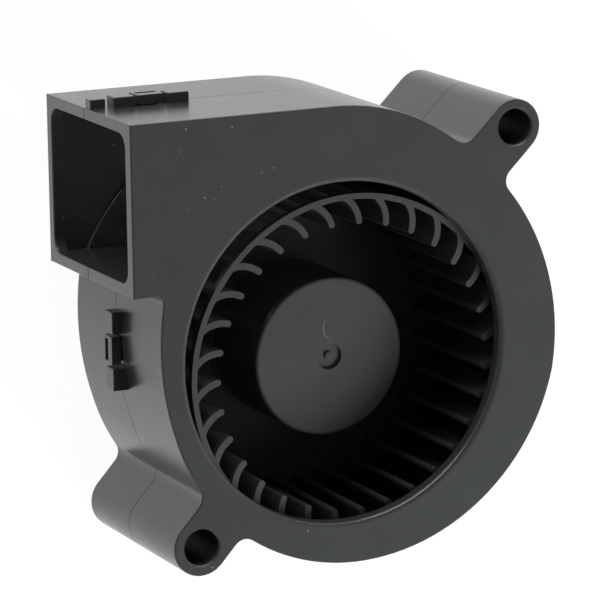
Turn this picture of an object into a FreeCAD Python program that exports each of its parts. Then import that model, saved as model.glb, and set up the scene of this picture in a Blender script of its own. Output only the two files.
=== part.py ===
import FreeCAD, Part
import Sketcher
import math
import os

# Centrifugal blower, 60 x 60 x 28 mm class. Millimetres.
# Frame: rotor axis on Z, Z = 0 on the back of the casing, +Z out of the air inlet,
# -X out of the air outlet, +Y towards the outlet's side of the casing.

os.makedirs("parts", exist_ok=True)
doc = FreeCAD.newDocument("Blower")
sheet = doc.addObject("Spreadsheet::Sheet", "Sizes")

SIZES = {
    # Casing
    "casing_depth": 28.0,
    "parting_height": 13.0,
    "back_wall": 1.6,
    "front_wall": 1.8,
    "side_wall": 1.5,
    "outlet_reach": 31.6,
    "duct_top": 34.85,
    "duct_floor": 12.65,
    "mouth_corner": 2.0,
    "edge_round": 0.25,
    "scroll_start_radius": 25.55,
    "scroll_gain": 5.05,
    "scroll_start_heading": 200.0,
    "scroll_end_heading": 350.0,
    "duct_overhang": 4.25,
    "tongue_wall_bulge": 0.65,
    "tongue_wall_middle": 9.0,
    "tongue_fillet": 1.1,
    "tongue_reach": 4.0,
    "tongue_tip": 0.6,
    "top_bend_radius": 27.6,
    "top_bend_x": -3.1,
    "seam_lip_height": 1.0,
    "seam_lip_wall": 0.7,
    "seam_clearance": 0.05,
    # Air inlet, set off from the rotor axis towards the outlet's corner
    "inlet_radius": 22.35,
    "inlet_x": -2.2,
    "inlet_y": 2.55,
    "inlet_lip": 0.8,
    # Mounting ears
    "ear_hole_radius": 2.4,
    "ear_hole_edge": 0.2,
    "upper_ear_x": 22.5,
    "upper_ear_y": 29.95,
    "upper_ear_radius": 3.65,
    "upper_ear_heading": 224.5,
    "lower_ear_x": -23.0,
    "lower_ear_y": -20.6,
    "lower_ear_radius": 3.8,
    "lower_ear_heading": 47.5,
    "ear_web": 9.0,
    "ear_fillet": 1.8,
    # Snap clips on the top and left walls
    "clip_rise": 1.4,
    "catch_rise": 0.85,
    "stop_block_rise": 1.2,
    "clip_bar": 1.3,
    "clip_foot": 0.6,
    "clip_window": 0.9,
    "clip_width": 3.7,
    "clip_leg": 0.45,
    "clip_guide": 2.9,
    "clip_guide_depth": 2.4,
    "clip_gap": 0.42,
    "clip_play": 0.1,
    "top_clip_x": -23.23,
    "left_clip_y": 3.2,
    "stop_block_x": -30.3,
    "stop_block_width": 2.1,
    "stop_block_depth": 1.5,
    # Scroll floor step, motor seat and lead channel on the back wall
    "floor_step_radius": 27.5,
    "floor_step_height": 0.4,
    "seat_radius": 4.6,
    "seat_top": 2.4,
    "post_radius": 0.8,
    "post_circle": 7.9,
    "lead_channel_width": 3.0,
    "lead_channel_depth": 1.0,
    "lead_channel_heading": -52.0,
    "lead_window_start": 5.6,
    "lead_window_end": 9.2,
    # Impeller
    "impeller_radius": 22.9,
    "rotor_gap": 0.6,
    "impeller_front": "=casing_depth - front_wall - rotor_gap",
    "impeller_back": 4.0,
    "disc_thickness": 1.0,
    "blade_tip_radius": 18.8,
    "blade_thickness": 0.9,
    "blade_count": 31,
    "blade_phase": 5.62,
    "blade_sweep": 5.6,
    "blade_bow": 0.44,
    "blade_root_fillet": 0.9,
    "ring_width": 0.8,
    "ring_height": 1.0,
    "hub_radius": 10.6,
    "hub_front": 18.2,
    "hub_face": 1.2,
    "hub_edge": 0.6,
    "gate_radius": 1.7,
    "gate_depth": 0.4,
    "gate_nub_radius": 0.55,
    # Rotor core
    "yoke_radius": 9.3,
    "yoke_wall": 0.8,
    "yoke_back": 5.6,
    "yoke_bend": 1.0,
    "magnet_wall": 1.3,
    "magnet_back": 6.4,
    "magnet_height": 9.0,
    "bush_neck_radius": 2.0,
    "bush_flange_radius": 3.0,
    "bush_flange": 0.6,
    "shaft_radius": 1.0,
    "shaft_back": 2.2,
    "shaft_chamfer": 0.2,
    "clip_groove_radius": 0.75,
    "clip_plate": 0.4,
    "clip_plate_radius": 1.9,
    # Bearings and their tube
    "bearing_radius": 2.5,
    "bearing_width": 2.5,
    "rear_bearing_back": 3.3,
    "front_bearing_back": 11.6,
    "race_wall": 0.45,
    "ball_radius": 0.4,
    "ball_count": 7,
    "ball_clearance": 0.04,
    "cage_wall": 0.3,
    "cage_height": 1.0,
    "tube_wall": 0.9,
    "tube_rim": 0.7,
    "tube_socket": 0.6,
    "tube_shoulder": 0.4,
    "spring_wire": 0.24,
    "spring_turns": 3.0,
    # Stator
    "air_gap": 0.4,
    "pole_count": 4,
    "core_back": 8.2,
    "core_height": 6.0,
    "core_ring": 0.95,
    "tooth_width": 2.2,
    "shoe_wall": 0.75,
    "shoe_angle": 66.0,
    "coil_build": 0.95,
    "coil_corner": 0.7,
    "winding_clearance": 0.1,
    "insulator_wall": 0.5,
    "insulator_fence": 1.3,
    "fence_angle": 46.0,
    # Circuit board and what it carries
    "board_radius": 8.6,
    "board_thickness": 0.8,
    "board_bore_clearance": 0.15,
    "pin_radius": 0.25,
    "pin_circle": 5.3,
    "pin_tail": 0.3,
    "pin_post": 0.5,
    "pin_lug_width": 1.2,
    "driver_length": 4.9,
    "driver_width": 3.4,
    "driver_height": 1.3,
    "driver_circle": 6.0,
    "driver_heading": 90.0,
    "driver_lead": 0.5,
    "driver_lead_width": 0.4,
    "driver_pitch": 1.27,
    "hall_length": 2.9,
    "hall_width": 1.4,
    "hall_height": 1.1,
    "hall_circle": 7.2,
    "hall_heading": 0.0,
    "capacitor_length": 2.0,
    "capacitor_width": 1.25,
    "capacitor_height": 1.2,
    "chip_circle": 6.6,
    "capacitor_heading": 215.0,
    "diode_length": 2.6,
    "diode_width": 1.6,
    "diode_height": 1.1,
    "diode_heading": 180.0,
    "resistor_length": 1.6,
    "resistor_width": 0.8,
    "resistor_height": 0.5,
    "first_resistor_heading": 45.0,
    "second_resistor_heading": 140.0,
}

for row, (alias, value) in enumerate(SIZES.items(), start=1):
    sheet.set(f"A{row}", alias.replace("_", " "))
    sheet.set(f"B{row}", str(value))
    sheet.setAlias(f"B{row}", alias)
doc.recompute()


def size(alias):
    return float(sheet.get(alias))


def expression(text):
    """Write bare size names, set apart by spaces, as references into the sheet."""
    return " ".join("Sizes." + word if word in SIZES else word for word in text.split())


def bind(item, **expressions):
    """Tie properties to expressions. A double underscore stands for a dot in a property path."""
    for name, text in expressions.items():
        item.setExpression(name.replace("__", "."), expression(text))
    return item


def place(item, x="0", y="0", z="0"):
    return bind(item, Placement__Base__x=x, Placement__Base__y=y, Placement__Base__z=z)


def cylinder(name, radius, height, z="0", x="0", y="0"):
    item = doc.addObject("Part::Cylinder", name)
    bind(item, Radius=radius, Height=height)
    return place(item, x, y, z)


def block(name, length, width, height, x="0", y="0", z="0"):
    item = doc.addObject("Part::Box", name)
    bind(item, Length=length, Width=width, Height=height)
    return place(item, x, y, z)


def torus(name, ring, section, z):
    item = doc.addObject("Part::Torus", name)
    bind(item, Radius1=ring, Radius2=section)
    return place(item, z=z)


def cut(name, base, tool):
    item = doc.addObject("Part::Cut", name)
    item.Base = base
    item.Tool = tool
    return item


def join(name, items):
    item = doc.addObject("Part::MultiFuse", name)
    item.Shapes = items
    return item


def group(name, items):
    item = doc.addObject("Part::Compound", name)
    item.Links = items
    return item


def turn_to(item, heading):
    """Spin an item that already lies out from the rotor axis to its heading."""
    spin = FreeCAD.Rotation(FreeCAD.Vector(0, 0, 1), heading)
    item.Placement = FreeCAD.Placement(FreeCAD.Vector(0, 0, 0), spin)
    return item


def turned(name, items, heading):
    """Items drawn along X from the rotor axis, spun together to their heading."""
    return turn_to(group(name, items), heading)


def origin_plane(body, role):
    return next(item for item in body.Origin.OriginFeatures if item.Role == role)


def sketch_on(body, name, role, geometry, lift="0"):
    sketch = body.newObject("Sketcher::SketchObject", name)
    sketch.AttachmentSupport = [(origin_plane(body, role), "")]
    sketch.MapMode = "FlatFace"
    bind(sketch, AttachmentOffset__Base__z=lift)
    sketch.addGeometry(geometry, False)
    return sketch


def circle_sketch(body, name, radius, x="0", y="0", lift="0"):
    """A circle whose radius and centre are driven by the sheet."""
    circle = Part.Circle(point(1, 1), point(0, 0, 1), 1)
    sketch = sketch_on(body, name, "XY_Plane", [circle], lift)
    sketch.addConstraint([
        Sketcher.Constraint("Radius", 0, 1.0),
        Sketcher.Constraint("DistanceX", -1, 1, 0, 3, 1.0),
        Sketcher.Constraint("DistanceY", -1, 1, 0, 3, 1.0),
    ])
    for number, text in enumerate((radius, x, y)):
        sketch.setExpression(f"Constraints[{number}]", expression(text))
    return sketch


def pad(body, name, sketch, length):
    item = body.newObject("PartDesign::Pad", name)
    item.Profile = sketch
    return bind(item, Length=length)


def pocket(body, name, sketch, length, upwards=False):
    """Cut a sketch downwards, or upwards, and make sure that it took material away."""
    doc.recompute()
    before = body.Shape.Volume
    item = body.newObject("PartDesign::Pocket", name)
    item.Profile = sketch
    item.Reversed = upwards
    bind(item, Length=length)
    doc.recompute()
    if body.Shape.Volume > before - 0.01:
        raise ValueError(name + " cuts nothing")
    return item


def turned_body(name, corners):
    """Turn a profile of radius and height pairs about Z."""
    body = doc.addObject("PartDesign::Body", name)
    edges = closed_lines([point(radius, height) for radius, height in corners])
    sketch = sketch_on(body, name + "_profile", "XZ_Plane", edges)
    item = body.newObject("PartDesign::Revolution", name + "_turned")
    item.Profile = sketch
    item.ReferenceAxis = (sketch, ["V_Axis"])
    item.Angle = 360
    return body


def closed_lines(points):
    closed = points + points[:1]
    return [Part.LineSegment(a, b) for a, b in zip(closed, closed[1:])]


def point(x, y, z=0.0):
    return FreeCAD.Vector(x, y, z)


def polar(radius, heading, centre=None):
    angle = math.radians(heading)
    spot = point(radius * math.cos(angle), radius * math.sin(angle))
    return spot + centre if centre else spot


def arc(a, b, c):
    return Part.Arc(a, b, c)


def wire_of(curves):
    return Part.Wire([curve.toShape() for curve in curves])


def curves_of(wire):
    """Turn a wire of lines and arcs back into sketch geometry."""
    curves = []
    for edge in wire.Edges:
        start = edge.valueAt(edge.FirstParameter)
        end = edge.valueAt(edge.LastParameter)
        middle = edge.valueAt((edge.FirstParameter + edge.LastParameter) / 2)
        if isinstance(edge.Curve, Part.Line):
            curves.append(Part.LineSegment(start, end))
        else:
            curves.append(Part.Arc(start, middle, end))
    return curves


INLET = point(size("inlet_x"), size("inlet_y"))
UPPER_EAR = point(size("upper_ear_x"), size("upper_ear_y"))
LOWER_EAR = point(size("lower_ear_x"), size("lower_ear_y"))
TONGUE_WALL = size("duct_overhang") - size("outlet_reach")


def tangent_heading(first, first_radius, second, second_radius):
    """Heading at which a straight flank touches two circles on the same side."""
    step = second - first
    lean = math.acos((first_radius - second_radius) / step.Length)
    return math.degrees(math.atan2(step.y, step.x) - lean)


def casing_outline():
    """The scroll, the outlet duct and the top bend, seen from the inlet side."""
    left = -size("outlet_reach")
    floor = size("duct_floor")
    top = size("duct_top")
    first = size("scroll_start_heading")
    last = size("scroll_end_heading")
    end_radius = size("scroll_start_radius") + size("scroll_gain")

    def scroll(share):
        radius = size("scroll_start_radius") + size("scroll_gain") * share
        return polar(radius, first + (last - first) * share, INLET)

    bend_radius = size("top_bend_radius")
    bend_centre = point(size("top_bend_x"), top - bend_radius)
    flank = tangent_heading(INLET, end_radius, bend_centre, bend_radius)
    right_middle = polar(end_radius, (last - 360 + flank) / 2, INLET)
    right_end = polar(end_radius, flank, INLET)
    bend_start = polar(bend_radius, flank, bend_centre)
    bend_middle = polar(bend_radius, (flank + 90) / 2, bend_centre)
    bend_end = point(bend_centre.x, top)
    wall = left + size("duct_overhang")
    tongue_top = point(wall, floor)
    tongue_middle = point(wall - size("tongue_wall_bulge"), floor - size("tongue_wall_middle"))
    return [
        Part.LineSegment(point(left, floor), tongue_top),
        arc(tongue_top, tongue_middle, scroll(0.0)),
        arc(scroll(0.0), scroll(0.25), scroll(0.5)),
        arc(scroll(0.5), scroll(0.75), scroll(1.0)),
        arc(scroll(1.0), right_middle, right_end),
        Part.LineSegment(right_end, bend_start),
        arc(bend_start, bend_middle, bend_end),
        Part.LineSegment(bend_end, point(left, top)),
        Part.LineSegment(point(left, top), point(left, floor)),
    ]


def inset(distance):
    """The casing outline moved inwards by a distance."""
    return curves_of(wire_of(casing_outline()).makeOffset2D(-distance, 2))


def web_rectangle(centre, heading, half_width):
    along = polar(size("ear_web"), heading)
    side = polar(half_width, heading + 90)
    corners = [centre + side, centre + along + side, centre + along - side, centre - side]
    return closed_lines(corners)


def upright_edges(shape, accept):
    """Names of the straight upright edges whose plan position is accepted."""
    names = []
    for number, edge in enumerate(shape.Edges, start=1):
        a, b = edge.Vertexes[0].Point, edge.Vertexes[-1].Point
        level = math.hypot(a.x - b.x, a.y - b.y) < 1e-6
        if level and abs(a.z - b.z) > 1.0 and isinstance(edge.Curve, Part.Line) and accept(a):
            names.append(f"Edge{number}")
    return names


def round_uprights(body, name, radius, accept):
    doc.recompute()
    base = body.Tip
    item = body.newObject("PartDesign::Fillet", name)
    item.Base = (base, upright_edges(base.Shape, accept))
    return bind(item, Radius=radius)


EARS = (
    ("upper_ear", UPPER_EAR),
    ("lower_ear", LOWER_EAR),
)
# Upright edges this far outside an ear's round, and this far past its web, belong to a valley.
VALLEY_START = 0.6
VALLEY_END = 3.0


def casing_half(name, base, height):
    """One half of the casing as a solid block: outline, ears and their rounded valleys."""
    body = doc.addObject("PartDesign::Body", name)
    outline = sketch_on(body, name + "_outline", "XY_Plane", casing_outline(), base)
    pad(body, name + "_block", outline, height)
    for ear, centre in EARS:
        disc = circle_sketch(body, f"{name}_{ear}", ear + "_radius", ear + "_x", ear + "_y", base)
        pad(body, f"{name}_{ear}_boss", disc, height)
        web = web_rectangle(centre, size(ear + "_heading"), size(ear + "_radius"))
        web_sketch = sketch_on(body, f"{name}_{ear}_web_outline", "XY_Plane", web, base)
        pad(body, f"{name}_{ear}_web", web_sketch, height)

    def in_valley(spot):
        for ear, centre in EARS:
            reach = math.hypot(spot.x - centre.x, spot.y - centre.y)
            if size(ear + "_radius") + VALLEY_START < reach < size("ear_web") + VALLEY_END:
                return True
        return False

    def at_tongue(spot):
        return abs(spot.x - TONGUE_WALL) < 0.1 and spot.y > 0

    round_uprights(body, name + "_valleys", "ear_fillet", in_valley)
    round_uprights(body, name + "_tongue", "tongue_fillet", at_tongue)
    return body


def round_outline(body, name, height):
    """Round the whole outer edge of the flat face at a height."""
    doc.recompute()
    base = body.Tip
    shape = base.Shape
    flat = [f for f in shape.Faces if f.BoundBox.ZLength < 1e-6 and abs(f.CenterOfMass.z - height) < 1e-6]
    rim = max(flat, key=lambda face: face.Area).OuterWire.Edges
    names = [f"Edge{number}" for number, edge in enumerate(shape.Edges, start=1)
             if any(edge.isSame(part) for part in rim)]
    item = body.newObject("PartDesign::Fillet", name)
    item.Base = (base, names)
    return bind(item, Radius="edge_round")


def drill_ears(body, name, base, height):
    for ear, centre in EARS:
        hole = circle_sketch(body, f"{name}_{ear}_hole", "ear_hole_radius", ear + "_x", ear + "_y", base)
        pocket(body, f"{name}_{ear}_drilled", hole, height, upwards=True)


def rounded_rectangle(low, high, r):
    k = r * (1 - math.sqrt(0.5))
    return [
        Part.LineSegment(point(low.x + r, low.y), point(high.x - r, low.y)),
        arc(point(high.x - r, low.y), point(high.x - k, low.y + k), point(high.x, low.y + r)),
        Part.LineSegment(point(high.x, low.y + r), point(high.x, high.y - r)),
        arc(point(high.x, high.y - r), point(high.x - k, high.y - k), point(high.x - r, high.y)),
        Part.LineSegment(point(high.x - r, high.y), point(low.x + r, high.y)),
        arc(point(low.x + r, high.y), point(low.x + k, high.y - k), point(low.x, high.y - r)),
        Part.LineSegment(point(low.x, high.y - r), point(low.x, low.y + r)),
        arc(point(low.x, low.y + r), point(low.x + k, low.y + k), point(low.x + r, low.y)),
    ]


def open_mouth(body, name):
    """Cut the outlet through the left wall, with rounded corners."""
    low = point(size("duct_floor") + size("side_wall"), size("back_wall"))
    high = point(size("duct_top") - size("side_wall"), size("casing_depth") - size("front_wall"))
    curves = rounded_rectangle(low, high, size("mouth_corner"))
    mouth = sketch_on(body, name + "_mouth", "YZ_Plane", curves, "- outlet_reach - 1")
    pocket(body, name + "_mouth_cut", mouth, "side_wall + 2", upwards=True)


def edge_ring(shape, radius, height, centre):
    """Names of the full circles of a radius about a centre at a height."""
    names = []
    for number, edge in enumerate(shape.Edges, start=1):
        if isinstance(edge.Curve, Part.Circle) and abs(edge.Curve.Radius - radius) < 1e-4:
            c = edge.Curve.Center
            if abs(c.z - height) < 1e-4 and math.hypot(c.x - centre.x, c.y - centre.y) < 1e-3:
                names.append(f"Edge{number}")
    return names


def round_ring(body, name, ring, height, radius, centre=FreeCAD.Vector(0, 0, 0)):
    """Round the circular edge of a given radius at a given height."""
    doc.recompute()
    base = body.Tip
    item = body.newObject("PartDesign::Fillet", name)
    item.Base = (base, edge_ring(base.Shape, size(ring), height, centre))
    return bind(item, Radius=radius)


def chamfer_ear_holes(body, name, height):
    doc.recompute()
    base = body.Tip
    edges = []
    for ear, centre in EARS:
        edges += edge_ring(base.Shape, size("ear_hole_radius"), height, centre)
    item = body.newObject("PartDesign::Chamfer", name)
    item.Base = (base, edges)
    return bind(item, Size="ear_hole_edge")


def clip_loop(name, frame):
    """The rear casing's spring loop: two legs, a foot behind the seam and a bar in front."""
    foot = block(name + "_foot", "clip_width", "clip_rise + side_wall / 2", "clip_foot",
                 x="0 - clip_width / 2", y="0 - side_wall / 2",
                 z="parting_height - clip_foot - clip_play")
    legs = [block(f"{name}_leg_{side}", "clip_leg", "clip_rise - clip_play",
                  "clip_bar + clip_window + clip_play",
                  x=place_x, y="clip_play", z="parting_height - 2 * clip_play")
            for side, place_x in (("a", "0 - clip_width / 2"), ("b", "clip_width / 2 - clip_leg"))]
    bar = block(name + "_bar", "clip_width", "clip_rise - clip_play", "clip_bar",
                x="0 - clip_width / 2", y="clip_play",
                z="parting_height + clip_window - clip_play")
    return seat_all(name, [foot, bar] + legs, frame)


def clip_catch(name, frame):
    """The front cover's catch in the loop's window, and the two guides beside the loop."""
    catch = block(name + "_catch", "clip_width - 2 * clip_leg - 2 * clip_play",
                  "catch_rise + side_wall / 2", "clip_window - 2 * clip_play",
                  x="0 - clip_width / 2 + clip_leg + clip_play", y="0 - side_wall / 2",
                  z="parting_height")
    guides = [block(f"{name}_guide_{side}", "clip_guide", "clip_rise + side_wall / 2",
                    "clip_guide_depth", x=place_x, y="0 - side_wall / 2", z="parting_height")
              for side, place_x in (("a", "0 - clip_width / 2 - clip_gap - clip_guide"),
                                    ("b", "clip_width / 2 + clip_gap"))]
    return seat_all(name, [catch] + guides, frame)


def seat_all(name, items, frame):
    """Join blocks that are drawn about the origin and set them on their wall."""
    doc.recompute()
    piece = join(name, items)
    piece.Placement = frame
    return piece


TOP_CLIP = FreeCAD.Placement(
    point(size("top_clip_x"), size("duct_top")), FreeCAD.Rotation(point(0, 0, 1), 0))
LEFT_WALL = casing_outline()[1].toShape().BoundBox.XMin
LEFT_CLIP = FreeCAD.Placement(
    point(LEFT_WALL, size("left_clip_y")), FreeCAD.Rotation(point(0, 0, 1), 90))


POST_HEADINGS = (30, 150, 270)


def rear_housing():
    """The back half: back wall, scroll wall with its seam lip, motor seat and lead channel."""
    body = casing_half("rear_shell", "0", "parting_height")
    round_outline(body, "rear_edge", 0.0)
    cavity = sketch_on(body, "rear_cavity", "XY_Plane", inset(size("side_wall")), "parting_height")
    pocket(body, "rear_hollow", cavity, "parting_height - back_wall")
    lip_out = inset(size("side_wall") - size("seam_lip_wall"))
    lip = sketch_on(body, "seam_lip", "XY_Plane", lip_out + inset(size("side_wall")),
                    "parting_height")
    pad(body, "seam_lip_wall", lip, "seam_lip_height")
    open_mouth(body, "rear")
    drill_ears(body, "rear", "0", "parting_height")
    chamfer_ear_holes(body, "rear_hole_edges", 0.0)

    floor_disc = cylinder("floor_disc", "floor_step_radius", "floor_step_height + back_wall / 2",
                          x="inlet_x", y="inlet_y", z="back_wall / 2")
    inside = doc.addObject("PartDesign::Body", "floor_limit")
    inside_sketch = sketch_on(inside, "floor_limit_outline", "XY_Plane", inset(size("side_wall") / 2))
    pad(inside, "floor_limit_block", inside_sketch, "parting_height")
    floor = doc.addObject("Part::Common", "raised_floor")
    floor.Base = floor_disc
    floor.Tool = inside

    seat = cylinder("motor_seat", "seat_radius", "seat_top - back_wall / 2", z="back_wall / 2")
    posts = []
    for heading in POST_HEADINGS:
        post = cylinder(f"board_post_{heading}", "post_radius", "seat_top - back_wall / 2",
                        x="post_circle", z="back_wall / 2")
        posts.append(turned(f"board_post_at_{heading}", [post], heading))
    loops = [clip_loop("top_loop", TOP_CLIP), clip_loop("left_loop", LEFT_CLIP)]
    tongue = cut_off_tongue("rear_tongue", "back_wall / 2", "parting_height - back_wall / 2")
    solid = join("rear_solid", [body, floor, tongue, seat] + posts + loops)

    socket = cylinder("tube_socket_bore", "bearing_radius + tube_wall", "seat_top",
                      z="back_wall - tube_socket")
    window = block("lead_window", "lead_window_end - lead_window_start", "lead_channel_width",
                   "seat_top + 1", x="lead_window_start", y="0 - lead_channel_width / 2", z="0 - 1")
    channel = block("lead_channel", "outlet_reach", "lead_channel_width",
                    "lead_channel_depth + 1", x="lead_window_start",
                    y="0 - lead_channel_width / 2", z="0 - 1")
    leads = join("lead_exit", [window, channel])
    doc.recompute()
    turn_to(leads, size("lead_channel_heading"))
    return cut("rear_housing", solid, join("rear_openings", [socket, leads]))


# Where the hollow flank of the tongue passes, in shares of its reach to the right and down.
FLANK_ACROSS = 0.35
FLANK_DOWN = 0.8


def cut_off_tongue(name, base, height):
    """Half of the moulded wedge inside that parts the scroll from the outlet, with a rounded tip."""
    corner = point(TONGUE_WALL - size("tongue_wall_bulge") / 2 + size("side_wall") / 2,
                   size("duct_floor") + size("side_wall") / 2)
    reach = size("tongue_reach") + size("side_wall") / 2
    tip = size("tongue_tip")
    top = corner.y + size("side_wall") / 2
    curves = [
        Part.LineSegment(corner, point(corner.x, top)),
        Part.LineSegment(point(corner.x, top), point(corner.x + reach, top)),
        arc(point(corner.x + reach, top), point(corner.x + reach + tip, top - tip),
            point(corner.x + reach, top - 2 * tip)),
        arc(point(corner.x + reach, top - 2 * tip),
            point(corner.x + reach * FLANK_ACROSS, top - reach * FLANK_DOWN),
            point(corner.x, top - 2 * reach)),
        Part.LineSegment(point(corner.x, top - 2 * reach), corner),
    ]
    body = doc.addObject("PartDesign::Body", name)
    outline = sketch_on(body, name + "_outline", "XY_Plane", curves, base)
    pad(body, name + "_block", outline, height)
    return body


def front_cover():
    """The front half: flat face with the air inlet, scroll wall, clip catches and guides."""
    body = casing_half("front_shell", "parting_height", "casing_depth - parting_height")
    round_outline(body, "front_edge", size("casing_depth"))
    cavity = sketch_on(body, "front_cavity", "XY_Plane", inset(size("side_wall")), "parting_height")
    pocket(body, "front_hollow", cavity, "casing_depth - parting_height - front_wall", upwards=True)
    rebate_line = inset(size("side_wall") - size("seam_lip_wall") - size("seam_clearance"))
    rebate = sketch_on(body, "seam_rebate_outline", "XY_Plane", rebate_line, "parting_height")
    pocket(body, "seam_rebate", rebate, "seam_lip_height + seam_clearance", upwards=True)
    open_mouth(body, "front")
    drill_ears(body, "front", "parting_height", "casing_depth - parting_height")
    inlet = circle_sketch(body, "inlet_circle", "inlet_radius", "inlet_x", "inlet_y", "casing_depth")
    pocket(body, "inlet_hole", inlet, "front_wall + 1")
    chamfer_ear_holes(body, "front_hole_edges", size("casing_depth"))
    round_ring(body, "inlet_lip_round", "inlet_radius", size("casing_depth"), "inlet_lip", INLET)
    stop = block("stop_block", "stop_block_width", "stop_block_rise + side_wall / 2", "stop_block_depth",
                 x="stop_block_x - stop_block_width / 2", y="duct_top - side_wall / 2",
                 z="parting_height")
    catches = [clip_catch("top_catch", TOP_CLIP), clip_catch("left_catch", LEFT_CLIP)]
    tongue = cut_off_tongue("front_tongue", "parting_height + seam_lip_height + seam_clearance",
                            "casing_depth - parting_height - seam_lip_height"
                            " - seam_clearance - front_wall / 2")
    return join("front_cover", [body, stop, tongue] + catches)


def impeller():
    """Hub cup, back disc, forward-curved blades and the ring that ties their front ends."""
    hub = size("hub_radius")
    rim = size("impeller_radius")
    bore = size("yoke_radius")
    face = size("hub_front")
    back = size("impeller_back")
    disc_top = back + size("disc_thickness")
    gate = size("gate_radius")
    nub = size("gate_nub_radius")
    gate_floor = face - size("gate_depth")
    body = turned_body("impeller", [
        (0, face - size("hub_face")),
        (bore, face - size("hub_face")),
        (bore, back),
        (rim, back),
        (rim, disc_top),
        (hub, disc_top),
        (hub, face),
        (gate, face),
        (gate, gate_floor),
        (nub, gate_floor),
        (nub, face - size("gate_depth") / 3),
        (0, face - size("gate_depth") / 3),
    ])
    round_ring(body, "hub_rounding", "hub_radius", face, "hub_edge")
    blade = sketch_on(body, "blade_outline", "XY_Plane", blade_outline(),
                      "impeller_back + disc_thickness")
    length = "impeller_front - impeller_back - disc_thickness"
    first = pad(body, "blade", blade, length)
    root = sketch_on(body, "blade_root_outline", "XY_Plane", blade_root(),
                     "impeller_front - ring_height")
    web = pad(body, "blade_root", root, "ring_height")
    doc.recompute()
    blades = body.newObject("PartDesign::PolarPattern", "blades")
    blades.Originals = [first, web]
    blades.Axis = (blade, ["N_Axis"])
    blades.Angle = 360
    bind(blades, Occurrences="blade_count")
    body.Tip = blades
    ring = sketch_on(body, "ring_outline", "XY_Plane", [
        Part.Circle(point(0, 0), point(0, 0, 1), rim),
        Part.Circle(point(0, 0), point(0, 0, 1), rim - size("ring_width")),
    ], "impeller_front - ring_height")
    pad(body, "front_ring", ring, "ring_height")
    return body


def blade_spine():
    """Inner end, outer end and middle arc of one blade: radial inside, bowed forward outside."""
    phase = size("blade_phase")
    inner = polar(size("blade_tip_radius") + size("blade_thickness") / 2, phase)
    outer = polar(size("impeller_radius") - size("ring_width") / 2, phase + size("blade_sweep"))
    chord = outer - inner
    back = point(chord.y, -chord.x).normalize() * size("blade_bow")
    return inner, outer, Part.Circle(inner, inner + chord * 0.5 + back, outer)


def blade_outline():
    """One blade with a round inner end; its outer end lies inside the ring."""
    inner, outer, spine = blade_spine()
    half = size("blade_thickness") / 2
    radius = spine.Radius
    middle = (inner + outer) * 0.5
    crown = spine.Center + (middle - spine.Center).normalize() * radius

    def shifted(spot, distance):
        return spot + (spot - spine.Center).normalize() * distance

    outwards = inner - spine.Center
    tip = inner + point(outwards.y, -outwards.x).normalize() * half
    other_tip = inner - point(outwards.y, -outwards.x).normalize() * half
    cap = min(tip, other_tip, key=lambda spot: spot.Length)
    return [
        arc(shifted(inner, half), shifted(crown, half), shifted(outer, half)),
        Part.LineSegment(shifted(outer, half), shifted(outer, -half)),
        arc(shifted(outer, -half), shifted(crown, -half), shifted(inner, -half)),
        arc(shifted(inner, -half), cap, shifted(inner, half)),
    ]


def blade_root():
    """Web that rounds the sharp corner between a blade's hollow side and the ring."""
    inner, outer, spine = blade_spine()
    fillet = size("blade_root_fillet")
    rim = size("impeller_radius") - size("ring_width")
    from_axis = rim - fillet
    from_spine = spine.Radius - size("blade_thickness") / 2 - fillet
    reach = spine.Center.Length
    along = (from_axis ** 2 - from_spine ** 2 + reach ** 2) / (2 * reach)
    aside = math.sqrt(from_axis ** 2 - along ** 2)
    ahead = point(spine.Center.x, spine.Center.y).normalize()
    centre = ahead * along + point(ahead.y, -ahead.x) * aside
    ring_touch = centre + point(centre.x, centre.y).normalize() * fillet
    blade_touch = centre + (centre - spine.Center).normalize() * fillet
    middle = centre - (centre - (ring_touch + blade_touch) * 0.5).normalize() * fillet
    buried = spine.Center + (blade_touch - spine.Center).normalize() * spine.Radius
    in_ring = point(ring_touch.x, ring_touch.y).normalize() * outer.Length
    return [
        arc(ring_touch, middle, blade_touch),
        Part.LineSegment(blade_touch, buried),
        Part.LineSegment(buried, outer),
        Part.LineSegment(outer, in_ring),
        Part.LineSegment(in_ring, ring_touch),
    ]


def rotor_yoke():
    """Steel cup that carries the magnet and closes its field."""
    outside = size("yoke_radius")
    inside = outside - size("yoke_wall")
    top = size("hub_front") - size("hub_face")
    body = turned_body("rotor_yoke", [
        (size("bush_neck_radius"), top),
        (outside, top),
        (outside, size("yoke_back")),
        (inside, size("yoke_back")),
        (inside, top - size("yoke_wall")),
        (size("bush_neck_radius"), top - size("yoke_wall")),
    ])
    round_ring(body, "yoke_bend_round", "yoke_radius", top, "yoke_bend")
    return body


def tube_shape(name, outside, inside, height, base):
    outer = cylinder(name + "_outside", outside, height, z=base)
    inner = cylinder(name + "_bore", inside, height + " + 2", z=base + " - 1")
    return cut(name, outer, inner)


def magnet_ring():
    return tube_shape("magnet_ring", "yoke_radius - yoke_wall",
                      "yoke_radius - yoke_wall - magnet_wall", "magnet_height", "magnet_back")


def shaft_bush():
    """Boss that ties the shaft to the yoke's plate."""
    plate_top = size("hub_front") - size("hub_face")
    plate = plate_top - size("yoke_wall")
    return turned_body("shaft_bush", [
        (size("shaft_radius"), plate - size("bush_flange")),
        (size("bush_flange_radius"), plate - size("bush_flange")),
        (size("bush_flange_radius"), plate),
        (size("bush_neck_radius"), plate),
        (size("bush_neck_radius"), plate_top),
        (size("shaft_radius"), plate_top),
    ])


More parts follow.
